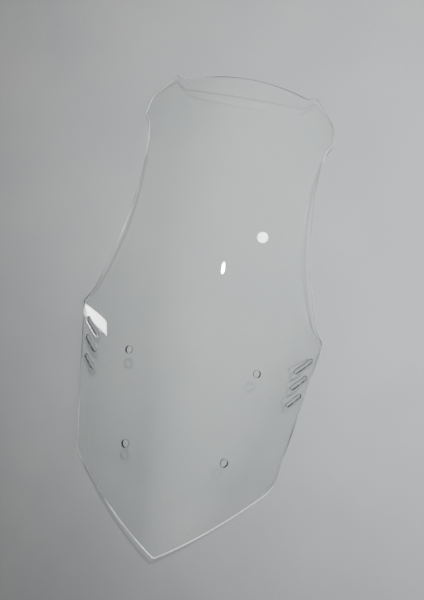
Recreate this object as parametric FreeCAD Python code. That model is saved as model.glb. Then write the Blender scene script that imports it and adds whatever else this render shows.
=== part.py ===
import FreeCAD, Part
import math
import os

V = FreeCAD.Vector

# Clear motorcycle windshield screen: one formed sheet, in millimetres.
# It is drawn with its tip at y = 0 and its top edge at y = length, outer face up, and then moved so
# that it stands on z = 0 with the origin under the middle of its outline box.

thickness = 3.0
edge_round = 1.0
hole_round = 0.4

# Outer face: height of the crown line, and bend radius across it, at tip, half length and top.
length = 560.0
crown_height = (66.5, 51.0, 29.0)
bend_radius = (89.0, 231.0, 214.0)
sheet_half_width = 190.0
sheet_margin = 25.0

# Outline, right half, from the tip round to the middle of the top edge, with each corner's rounding.
tip = V(0, 0, 0)
lower_corner = V(119.5, 69.0, 0)
shoulder = V(152.0, 248.5, 0)
shoulder_cut = V(138.8, 265.0, 0)
neck_pulls = (V(96.5, 375.5, 0), V(110.0, 470.0, 0))
ear_cut = V(118.0, 493.0, 0)
ear_low = V(126.5, 508.5, 0)
ear_high = V(122.8, 534.5, 0)
peak = V(93.0, 564.0, 0)
step = V(79.5, 555.5, 0)
top_middle = V(0, length, 0)
roundings = (
    (tip, 4.0), (lower_corner, 24.0), (shoulder, 3.0), (shoulder_cut, 8.0), (ear_cut, 8.0),
    (ear_low, 3.5), (ear_high, 3.5), (peak, 2.0), (step, 4.0),
)

# Four mounting holes, drilled square to the outer face: radius, and places in plan.
hole_radius = 4.25
holes = ((74.0, 199.5), (54.7, 100.5))

# Three vent slots a side, rising outwards: middle in plan, and overall length along the sheet.
slot_width = 5.4
slot_rise = math.radians(42.0)
slots = ((130.0, 217.8, 31.0), (127.8, 197.5, 28.0), (124.9, 176.2, 25.0))

cutter_reach = 12.0


def through_three(values, y):
    """Value at y on the parabola that takes the three values at tip, half length and top."""
    first, middle, last = values
    t = y / length
    return first * (1 - t) * (1 - 2 * t) + 4 * middle * t * (1 - t) + last * t * (2 * t - 1)


def crown(y):
    return through_three(crown_height, y)


def bend(y):
    return through_three([1 / r for r in bend_radius], y)


def outer_height(x, y):
    return crown(y) - bend(y) * x * x / 2


def make_outer_face():
    """The formed face is parabolic both ways, so a patch of three by three poles holds it exactly."""
    start, end = -sheet_margin, length + sheet_margin

    def pole_values(curve):
        first, middle, last = curve(start), curve((start + end) / 2), curve(end)
        return first, 2 * middle - (first + last) / 2, last

    patch = Part.BezierSurface()
    patch.increase(2, 2)
    for j, (top, turn) in enumerate(zip(pole_values(crown), pole_values(bend))):
        y = start + j * (end - start) / 2
        drop = turn * sheet_half_width ** 2 / 2
        patch.setPole(1, j + 1, V(-sheet_half_width, y, top - drop))
        patch.setPole(2, j + 1, V(0, y, top + drop))
        patch.setPole(3, j + 1, V(sheet_half_width, y, top - drop))
    return patch.toShape()


def flipped(point):
    return V(-point.x, point.y, point.z)


def make_outline_prism():
    """The plan outline as a tall prism with every corner rounded."""
    edges = []
    for side in (lambda point: point, flipped):
        edge = Part.BezierCurve()
        edge.setPoles([side(point) for point in (shoulder_cut, *neck_pulls, ear_cut)])
        edges.append(edge.toShape())
        for a, b in ((tip, lower_corner), (lower_corner, shoulder), (shoulder, shoulder_cut),
                     (ear_cut, ear_low), (ear_low, ear_high), (ear_high, peak), (peak, step)):
            edges.append(Part.LineSegment(side(a), side(b)).toShape())
    edges.append(Part.Arc(flipped(step), top_middle, step).toShape())
    face = Part.Face(Part.Wire(Part.__sortEdges__(edges)))
    face.translate(V(0, 0, -100))
    prism = face.extrude(V(0, 0, 300))
    for point, radius in roundings:
        places = {(point.x, point.y), (-point.x, point.y)}
        upright = [e for e in prism.Edges if e.BoundBox.ZLength > 299 and any(
            math.hypot(e.Vertexes[0].X - x, e.Vertexes[0].Y - y) < 0.01 for x, y in places)]
        prism = prism.makeFillet(radius, upright)
    return prism


def on_sheet(shape, x, y, heading):
    """Move a cutter drawn along Z at the origin so that it stands square to the sheet at x, y."""
    reach = 0.01
    slope_x = (outer_height(x + reach, y) - outer_height(x - reach, y)) / (2 * reach)
    slope_y = (outer_height(x, y + reach) - outer_height(x, y - reach)) / (2 * reach)
    along = V(math.cos(heading), math.sin(heading), 0)
    along.z = slope_x * along.x + slope_y * along.y
    normal = V(-slope_x, -slope_y, 1)
    turn = FreeCAD.Rotation(along, V(), normal, "ZXY")
    shape.Placement = FreeCAD.Placement(V(x, y, outer_height(x, y)), turn)
    return shape


def hole_cutter(x, y):
    cutter = Part.makeCylinder(hole_radius, 2 * cutter_reach, V(0, 0, -cutter_reach))
    return on_sheet(cutter, x, y, 0)


def slot_cutter(x, y, overall, heading):
    r = slot_width / 2
    run = overall / 2 - r
    low = -cutter_reach
    wire = Part.Wire([
        Part.LineSegment(V(-run, -r, low), V(run, -r, low)).toShape(),
        Part.Arc(V(run, -r, low), V(run + r, 0, low), V(run, r, low)).toShape(),
        Part.LineSegment(V(run, r, low), V(-run, r, low)).toShape(),
        Part.Arc(V(-run, r, low), V(-run - r, 0, low), V(-run, -r, low)).toShape(),
    ])
    return on_sheet(Part.Face(wire).extrude(V(0, 0, 2 * cutter_reach)), x, y, heading)


def formed_faces(sheet):
    """The outer and the inner face, much the largest two."""
    return sorted(sheet.Faces, key=lambda face: face.Area)[-2:]


def make_screen():
    trimmed = make_outer_face().common(make_outline_prism()).Faces[0]
    sheet = trimmed.makeOffsetShape(-thickness, 1e-4, fill=True)
    rim = [edge for face in formed_faces(sheet) for edge in face.Edges]
    sheet = sheet.makeFillet(edge_round, rim)

    cutters = []
    for side, heading in ((1, slot_rise), (-1, math.pi - slot_rise)):
        cutters += [hole_cutter(side * x, y) for x, y in holes]
        cutters += [slot_cutter(side * x, y, overall, heading) for x, y, overall in slots]
    sheet = sheet.cut(cutters)
    mouths = [wire for face in formed_faces(sheet) for wire in face.Wires
              if wire.BoundBox.DiagonalLength < 2 * max(slot[2] for slot in slots)]
    sheet = sheet.makeFillet(hole_round, [edge for wire in mouths for edge in wire.Edges])
    return sheet.Solids[0]


screen = make_screen()
box = screen.optimalBoundingBox()
screen.translate(V(0, -(box.YMin + box.YMax) / 2, -box.ZMin))
os.makedirs("parts", exist_ok=True)
screen.exportStep("parts/screen.step")
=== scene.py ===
import math

import bmesh
import bpy
from mathutils import Matrix, Vector, kdtree


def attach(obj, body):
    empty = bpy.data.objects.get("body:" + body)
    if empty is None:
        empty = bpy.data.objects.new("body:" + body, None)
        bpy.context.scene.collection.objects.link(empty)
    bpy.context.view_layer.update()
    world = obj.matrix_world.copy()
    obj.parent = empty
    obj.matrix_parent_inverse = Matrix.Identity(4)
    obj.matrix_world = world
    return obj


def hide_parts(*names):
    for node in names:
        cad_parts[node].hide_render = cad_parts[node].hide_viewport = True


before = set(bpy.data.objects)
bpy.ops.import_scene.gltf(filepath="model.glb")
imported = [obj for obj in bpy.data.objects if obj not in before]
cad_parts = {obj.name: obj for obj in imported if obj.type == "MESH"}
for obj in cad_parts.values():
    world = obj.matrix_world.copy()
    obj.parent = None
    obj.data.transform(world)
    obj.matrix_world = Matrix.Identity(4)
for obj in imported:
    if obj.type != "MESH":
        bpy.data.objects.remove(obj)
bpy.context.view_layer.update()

# ---------------------------------------------------------------- screen
# The whole object: one sheet of clear plastic, 3 mm thick, formed into a double arch and polished
# all round. It is laid out flat as a grid with its rims and holes, x and y in plan and z as height
# above its middle layer, in millimetres, and then every vertex is bent onto the formed shape.

thickness = 3.0
edge_round = 1.0
hole_round = 0.4
length = 560.0
crown_height = (66.5, 51.0, 29.0)
bend_radius = (89.0, 231.0, 214.0)
to_frame = Vector((0, -281.93, 3.73))

corners = (  # right half from the tip to the step beside the top edge: plan place, rounding
    ((119.5, 69.0), 24.0), ((152.0, 248.5), 3.0), ((138.8, 265.0), 8.0), ((118.0, 493.0), 8.0),
    ((126.5, 508.5), 3.5), ((122.8, 534.5), 3.5), ((93.0, 564.0), 2.0), ((79.5, 555.5), 4.0),
)
neck_foot, neck_head = corners[2][0], corners[3][0]
neck_pulls = ((96.5, 375.5), (110.0, 470.0))
tip_round = 4.0
hole_radius = 4.25
holes = ((74.0, 199.5), (54.7, 100.5))
slot_width = 5.4
slot_rise = math.radians(42.0)
slots = ((130.0, 217.8, 31.0), (127.8, 197.5, 28.0), (124.9, 176.2, 25.0))

cell = 4.0
clearance = 0.55 * cell
outline_margin, hole_margin = 0.4, 1.5
longest_run = 3.0
neck_steps, top_steps, rim_steps = 60, 20, 5

# How deep in a cut each vertex lies: 0 on the faces, 1 half way down the wall; this depth sets the
# painted shade of the roundings and walls. The polished rounding between these two depths is marked
# for a painted highlight where it is on the outline.
rounding_start, rounding_end = 0.45, 0.9


def through_three(values, y):
    """Value and slope at y of the parabola that takes the three values at tip, half length and top."""
    a, b, c = values
    t = y / length
    value = a * (1 - t) * (1 - 2 * t) + 4 * b * t * (1 - t) + c * t * (2 * t - 1)
    slope = (a * (4 * t - 3) + b * (4 - 8 * t) + c * (4 * t - 1)) / length
    return value, slope


def formed(x, y):
    """Point and outward normal of the outer face over the plan place x, y."""
    top, fall = through_three(crown_height, y)
    turn, turn_slope = through_three([1 / r for r in bend_radius], y)
    point = Vector((x, y, top - turn * x * x / 2))
    normal = Vector((turn * x, turn_slope * x * x / 2 - fall, 1)).normalized()
    return point, normal


def rounded(points, radii):
    """A closed outline with each corner replaced by an arc of its radius."""
    out = []
    for i, (corner, radius) in enumerate(zip(points, radii)):
        if not radius:
            out.append(corner)
            continue
        before = (points[i - 1] - corner).normalized()
        after = (points[(i + 1) % len(points)] - corner).normalized()
        half = before.angle(after) / 2
        middle = corner + (before + after).normalized() * (radius / math.sin(half))
        start = corner + before * (radius / math.tan(half)) - middle
        sweep = math.pi - 2 * half
        if before.cross(after) > 0:
            sweep = -sweep
        steps = max(3, round(abs(sweep) * radius / 1.0))
        for k in range(steps + 1):
            out.append(middle + Matrix.Rotation(sweep * k / steps, 2) @ start)
    return out


def evenly(points, longest):
    """The closed outline with its long runs divided."""
    out = []
    for a, b in zip(points, points[1:] + points[:1]):
        parts = max(1, math.ceil((b - a).length / longest))
        out += [a.lerp(b, k / parts) for k in range(parts)]
    return out


def sheet_outline():
    """The whole plan outline: the right half, its neck and top arc, and their mirror image."""
    right, radii = [], []
    for (x, y), radius in corners:
        right.append(Vector((x, y)))
        radii.append(radius)
        if (x, y) == neck_foot:
            a, b, c, d = (Vector(p) for p in (neck_foot, *neck_pulls, neck_head))
            for k in range(1, neck_steps):
                t = k / neck_steps
                right.append(a * (1 - t) ** 3 + 3 * b * t * (1 - t) ** 2
                             + 3 * c * t * t * (1 - t) + d * t ** 3)
                radii.append(0)
    step = right[-1]
    sagitta = length - step.y
    radius = (step.x ** 2 + sagitta ** 2) / (2 * sagitta)
    for k in range(1, top_steps):
        x = step.x * (1 - k / top_steps)
        right.append(Vector((x, length - radius + math.sqrt(radius ** 2 - x * x))))
        radii.append(0)
    left = [Vector((-p.x, p.y)) for p in reversed(right)]
    points = [Vector((0, 0)), *right, Vector((0, length)), *left]
    return evenly(rounded(points, [tip_round, *radii, 0, *reversed(radii)]), longest_run)


def across(x, y, heading, run, side):
    """Plan place of a point that lies run along and side across a cutter standing on the sheet."""
    point, normal = formed(x, y)
    along = Vector((math.cos(heading), math.sin(heading), 0))
    along.z = -(normal.x * along.x + normal.y * along.y) / normal.z
    along.normalize()
    place = point + along * run + normal.cross(along) * side
    reach = (place.z - formed(place.x, place.y)[0].z)
    for _ in range(3):
        place -= normal * reach
        reach = (place.z - formed(place.x, place.y)[0].z)
    return Vector((place.x, place.y))


def round_cut(x, y, radius, half_run, heading, steps):
    """Plan outline of a round or long hole, cut square to the sheet."""
    out = []
    for end in (1, -1):
        for k in range(steps + 1):
            a = math.pi * (k / steps - 0.5)
            out.append(across(x, y, heading, end * (half_run + radius * math.cos(a)),
                              end * radius * math.sin(a)))
    if not half_run:
        out = out[:steps] + out[steps + 1:-1]
    return evenly(out, longest_run)


def cuts():
    """Plan outlines of the holes and slots, right side first."""
    for side in (1, -1):
        for x, y in holes:
            yield round_cut(side * x, y, hole_radius, 0, 0, 24)
        for x, y, overall in slots:
            heading = slot_rise if side > 0 else math.pi - slot_rise
            yield round_cut(side * x, y, slot_width / 2, overall / 2 - slot_width / 2, heading, 10)


def side_ways(points):
    """For each outline point the plan step that is one millimetre along the sheet, out of it."""
    bent = [formed(p.x, p.y) for p in points]
    out = []
    for i, (_, normal) in enumerate(bent):
        run = bent[(i + 1) % len(bent)][0] - bent[i - 1][0]
        way = run.cross(normal).normalized()
        out.append(way)
    return out


def inside(p, loop):
    """Whether the plan point lies within the loop."""
    odd = False
    for a, b in zip(loop, loop[1:] + loop[:1]):
        if (a.y > p.y) != (b.y > p.y) and p.x < a.x + (p.y - a.y) * (b.x - a.x) / (b.y - a.y):
            odd = not odd
    return odd


def rim(bm, points, inset, outward):
    """A loop of vertices on the flat face, inset from a cut. Returns it with its edges and ways."""
    ways = [w * outward for w in side_ways(points)]
    ring = []
    for p, way in zip(points, ways):
        ring.append(bm.verts.new((p.x - way.x * inset, p.y - way.y * inset, thickness / 2)))
    edges = [bm.edges.new((a, b)) for a, b in zip(ring, ring[1:] + ring[:1])]
    return ring, edges, ways


def turned_rim(bm, edges, ring, points, ways, radius, layers):
    """Carries a rim loop round its quarter circle and down to mid thickness."""
    order = {v: i for i, v in enumerate(ring)}
    stops = []
    for k in range(rim_steps + 1):
        a = math.pi / 2 * k / rim_steps
        stops.append((radius * (1 - math.sin(a)), thickness / 2 - radius * (1 - math.cos(a)),
                      rounding_start + (rounding_end - rounding_start) * k / rim_steps))
    stops.append((0, 0, 1))
    for inset, height, cut in stops:
        made = bmesh.ops.extrude_edge_only(bm, edges=edges)["geom"]
        edges = [g for g in made if isinstance(g, bmesh.types.BMEdge)
                 and all(v not in order for v in g.verts)]
        moved = {}
        for v in {v for e in edges for v in e.verts}:
            old = next(e.other_vert(v) for e in v.link_edges if e.other_vert(v) in order)
            moved[v] = order[old]
        for v, i in moved.items():
            v.co = points[i].x - ways[i].x * inset, points[i].y - ways[i].y * inset, height
            # The depth sets the painted shade of roundings and walls; the second layer marks the
            # outline's rounding for the painted highlight.
            v[layers[0]] = cut
            v[layers[1]] = float(radius == edge_round and rounding_start < cut < rounding_end)
        order = moved


def laid_out_sheet():
    """The sheet flat: a grid trimmed to the outline and cuts, filled out to them, and mirrored."""
    bm = bmesh.new()
    # Layers: depth in a cut, which drives the painted shade, and the mask of the painted highlight.
    layers = bm.verts.layers.float.new("cut"), bm.verts.layers.float.new("painted_highlight")
    outline = sheet_outline()
    loops = [(outline, edge_round, outline_margin, 1)]
    loops += [(cut, hole_round, hole_margin, -1) for cut in cuts()]

    across_cells, along_cells = 2 * math.ceil(156 / cell), math.ceil((length + 8) / cell)
    bmesh.ops.create_grid(bm, x_segments=across_cells, y_segments=along_cells, size=0.5)
    for v in bm.verts:
        v.co = (v.co.x * across_cells * cell, v.co.y * along_cells * cell + length / 2,
                thickness / 2)
    rims = [(loop, radius, *rim(bm, loop, radius + margin, outward))
            for loop, radius, margin, outward in loops]
    grid = bm.faces[:]
    flat = [[v.co.xy for v in ring] for _, _, ring, _, _ in rims]
    ring_places = [p for loop in flat for p in loop]
    tree = kdtree.KDTree(len(ring_places))
    for n, p in enumerate(ring_places):
        tree.insert((p.x, p.y, 0), n)
    tree.balance()
    doomed = []
    keep = {}
    for f in grid:
        for v in f.verts:
            if v not in keep:
                p = v.co.xy
                keep[v] = (tree.find((p.x, p.y, 0))[2] > clearance and inside(p, flat[0])
                           and not any(inside(p, loop) for loop in flat[1:]))
        if not all(keep[v] for v in f.verts):
            doomed.append(f)
    bmesh.ops.delete(bm, geom=doomed, context="FACES")
    loose = [e for e in bm.edges if len(e.link_faces) == 1]
    ring_edges = [e for _, _, _, edges, _ in rims for e in edges]
    bmesh.ops.triangle_fill(bm, edges=loose + ring_edges, use_beauty=True)

    for loop, radius, ring, edges, ways in rims:
        turned_rim(bm, edges, ring, loop, ways, radius, layers)

    bmesh.ops.mirror(bm, geom=bm.verts[:] + bm.edges[:] + bm.faces[:], axis="Z", merge_dist=1e-4)
    bmesh.ops.recalc_face_normals(bm, faces=bm.faces)
    return bm


def make_screen():
    """The flat sheet bent onto the formed shape, as one object."""
    bm = laid_out_sheet()
    for v in bm.verts:
        point, normal = formed(v.co.x, v.co.y)
        v.co = (point + normal * (v.co.z - thickness / 2) + to_frame) / 1000
    bmesh.ops.recalc_face_normals(bm, faces=bm.faces)
    mesh = bpy.data.meshes.new("screen_sheet")
    bm.to_mesh(mesh)
    bm.free()
    mesh.shade_smooth()
    screen = bpy.data.objects.new("windshield_screen", mesh)
    bpy.context.scene.collection.objects.link(screen)
    return screen


screen = make_screen()
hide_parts("screen")
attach(screen, "root")

clear = bpy.data.materials.new("clear_sheet")
clear.use_nodes = True
nodes, links = clear.node_tree.nodes, clear.node_tree.links
shader = nodes["Principled BSDF"]
shader.inputs["IOR"].default_value = 1.5
ray = nodes.new("ShaderNodeLightPath")
# Readers of the cut depth for the painted shade and of the painted highlight mask.
cut, painted_highlight = nodes.new("ShaderNodeAttribute"), nodes.new("ShaderNodeAttribute")
cut.attribute_name, painted_highlight.attribute_name = "cut", "painted_highlight"


def ramp(source, *stops):
    """A colour or value that follows one of the sheet's attributes."""
    node = nodes.new("ShaderNodeValToRGB")
    for at, colour in stops[2:]:
        node.color_ramp.elements.new(at)
    for element, (at, colour) in zip(node.color_ramp.elements, sorted(stops)):
        element.position, element.color = at, (*colour, 1)
    links.new(source.outputs["Fac"], node.inputs["Fac"])
    return node.outputs["Color"]


def ranged(source, low, high, start=0, end=1):
    """The source taken from start..end to low..high."""
    node = nodes.new("ShaderNodeMapRange")
    for name, number in (("From Min", start), ("From Max", end), ("To Min", low), ("To Max", high)):
        node.inputs[name].default_value = number
    links.new(source, node.inputs["Value"])
    return node.outputs["Result"]


def noise(scale, detail=1):
    """Soft unevenness fixed to the object."""
    node = nodes.new("ShaderNodeTexNoise")
    node.inputs["Scale"].default_value = scale
    node.inputs["Detail"].default_value = detail
    links.new(place.outputs["Object"], node.inputs["Vector"])
    return node.outputs["Fac"]


# The outline's rounding is painted white in stretches as a painted highlight, rough and less clear
# there; the roundings and walls of the cuts carry a dark painted shade, darker than the faces.
place = nodes.new("ShaderNodeTexCoord")
patchy = nodes.new("ShaderNodeMath")
patchy.operation = "MULTIPLY"
links.new(painted_highlight.outputs["Fac"], patchy.inputs[0])
links.new(ranged(noise(11), 0.3, 1, 0.42, 0.58), patchy.inputs[1])
whiteness = patchy.outputs[0]

# Faces keep the sheet's own faint tint; the roundings and walls of the cuts get a dark painted shade.
body_tint, painted_cut_shade = (0.965, 0.985, 0.975), (0.3, 0.33, 0.32)
sheet_colour_with_painted_rim = nodes.new("ShaderNodeMix")
sheet_colour_with_painted_rim.data_type = "RGBA"
sheet_colour_with_painted_rim.inputs["B"].default_value = (1, 1, 1, 1)
links.new(whiteness, sheet_colour_with_painted_rim.inputs["Factor"])
links.new(ramp(cut, (0.4, body_tint), (0.5, painted_cut_shade)), sheet_colour_with_painted_rim.inputs["A"])
links.new(sheet_colour_with_painted_rim.outputs["Result"], shader.inputs["Base Color"])
links.new(ranged(whiteness, 1, 0.3), shader.inputs["Transmission Weight"])
links.new(ranged(whiteness, 0, 0.3), shader.inputs["Roughness"])

# The formed faces are very slightly wavy.
wave = nodes.new("ShaderNodeBump")
wave.inputs["Strength"].default_value = 0.1
wave.inputs["Distance"].default_value = 0.002
links.new(noise(14), wave.inputs["Height"])
links.new(wave.outputs["Normal"], shader.inputs["Normal"])

# Lamp light and light from the table go straight through, weakened most beside and in the cuts.
open_way = nodes.new("ShaderNodeBsdfTransparent")
links.new(ramp(cut, (0, (0.95, 0.955, 0.95)), (0.08, (0.3, 0.31, 0.3)), (1, (0.12, 0.12, 0.12))),
          open_way.inputs["Color"])
last = shader
for kind in ("Is Diffuse Ray", "Is Shadow Ray"):
    either = nodes.new("ShaderNodeMixShader")
    links.new(ray.outputs[kind], either.inputs["Fac"])
    links.new(last.outputs[0], either.inputs[1])
    links.new(open_way.outputs["BSDF"], either.inputs[2])
    last = either
links.new(last.outputs[0], nodes["Material Output"].inputs["Surface"])
screen.data.materials.append(clear)

# ---------------------------------------------------------------- table and light
# A plain pale table top, faintly mottled under a mirror-like coat. Over it are one small round lamp,
# a tall narrow window gap at the left, three wide glows, and a room that is brightest to the upper
# right. The glows light surfaces but don't show in reflections; the room shows in reflections but
# lights no matt surface.

bm = bmesh.new()
bmesh.ops.create_grid(bm, x_segments=1, y_segments=1, size=2.5)
mesh = bpy.data.meshes.new("table")
bm.to_mesh(mesh)
bm.free()
table = bpy.data.objects.new("table", mesh)
bpy.context.scene.collection.objects.link(table)
top = bpy.data.materials.new("table_top")
top.use_nodes = True
nodes, links = top.node_tree.nodes, top.node_tree.links
shader = nodes["Principled BSDF"]
place = nodes.new("ShaderNodeTexCoord")
mottle = nodes.new("ShaderNodeMix")
mottle.data_type = "RGBA"
mottle.inputs["A"].default_value = (0.195, 0.2, 0.205, 1)
mottle.inputs["B"].default_value = (0.235, 0.235, 0.23, 1)
links.new(ranged(noise(7, 3), 0, 1, 0.35, 0.65), mottle.inputs["Factor"])
links.new(mottle.outputs["Result"], shader.inputs["Base Color"])
shader.inputs["Roughness"].default_value = 0.6
shader.inputs["Coat Weight"].default_value = 1
shader.inputs["Coat Roughness"].default_value = 0.002
shader.inputs["Coat IOR"].default_value = 3
table.data.materials.append(top)


def panel(name, spot, aim, size, power, colour=(1, 1, 1), shape="RECTANGLE"):
    data = bpy.data.lights.new(name, "AREA")
    data.shape = shape
    data.size, data.size_y = size
    data.energy = power
    data.color = colour
    light = bpy.data.objects.new(name, data)
    light.location = spot
    light.rotation_euler = (Vector(aim) - Vector(spot)).to_track_quat("-Z", "Y").to_euler()
    light.visible_camera = False
    bpy.context.scene.collection.objects.link(light)
    return light


panel("ceiling_lamp", (0.143, 0.540, 1.49), (0.143, 0.540, 0), (0.056, 0.056), 26,
      (1, 0.985, 0.95), shape="DISK")
panel("window_gap", (-1.9, -0.142, 0.26), (0, -0.142, 0.26), (0.075, 0.5), 5)
for name, spot, size, power, colour in (
        ("glow_right", (0.62, 0.1, 0.34), (0.5, 0.5), 8, (0.82, 0.9, 1)),
        ("glow_left", (-1.2, -0.15, 0.12), (0.6, 0.2), 6, (1, 1, 1)),
        ("glow_front", (0, -1.3, 0.12), (0.8, 0.2), 4, (1, 1, 1))):
    glow = panel(name, spot, (0.1, 0, 0), size, power, colour)
    glow.visible_glossy = False
    glow.visible_transmission = False

brightest_way = Vector((0.35, 0.3, 0.89)).normalized()
world = bpy.data.worlds.new("room")
world.use_nodes = True
nodes, links = world.node_tree.nodes, world.node_tree.links
way = nodes.new("ShaderNodeTexCoord")
toward = nodes.new("ShaderNodeVectorMath")
toward.operation = "DOT_PRODUCT"
toward.inputs[1].default_value = brightest_way
soft = nodes.new("ShaderNodeMapRange")
soft.interpolation_type = "SMOOTHSTEP"
for socket, number in (("From Min", 0.4), ("From Max", 1), ("To Min", 0.14), ("To Max", 1.45)):
    soft.inputs[socket].default_value = number
links.new(way.outputs["Generated"], toward.inputs[0])
links.new(toward.outputs["Value"], soft.inputs["Value"])
links.new(soft.outputs["Result"], nodes["Background"].inputs["Strength"])
nodes["Background"].inputs["Color"].default_value = (0.95, 0.97, 1, 1)
world.cycles.sampling_method = "NONE"
world.cycles_visibility.diffuse = False
bpy.context.scene.world = world

# ---------------------------------------------------------------- camera
# Hand held above the table, half a metre over the screen, leaning a little to its right.

lens = bpy.data.cameras.new("camera")
lens.sensor_width = 36
lens.lens = 24.53
camera = bpy.data.objects.new("camera", lens)
right = Vector((0.98242, 0.18608, -0.01478))
forward = Vector((-0.03839, 0.12395, -0.99155)).normalized()
right = (right - forward * right.dot(forward)).normalized()
up = right.cross(forward)
camera.matrix_world = Matrix.Translation((0.02651, -0.06767, 0.50988)) @ Matrix(
    (right, up, -forward)).transposed().to_4x4()
bpy.context.scene.collection.objects.link(camera)
bpy.context.scene.camera = camera
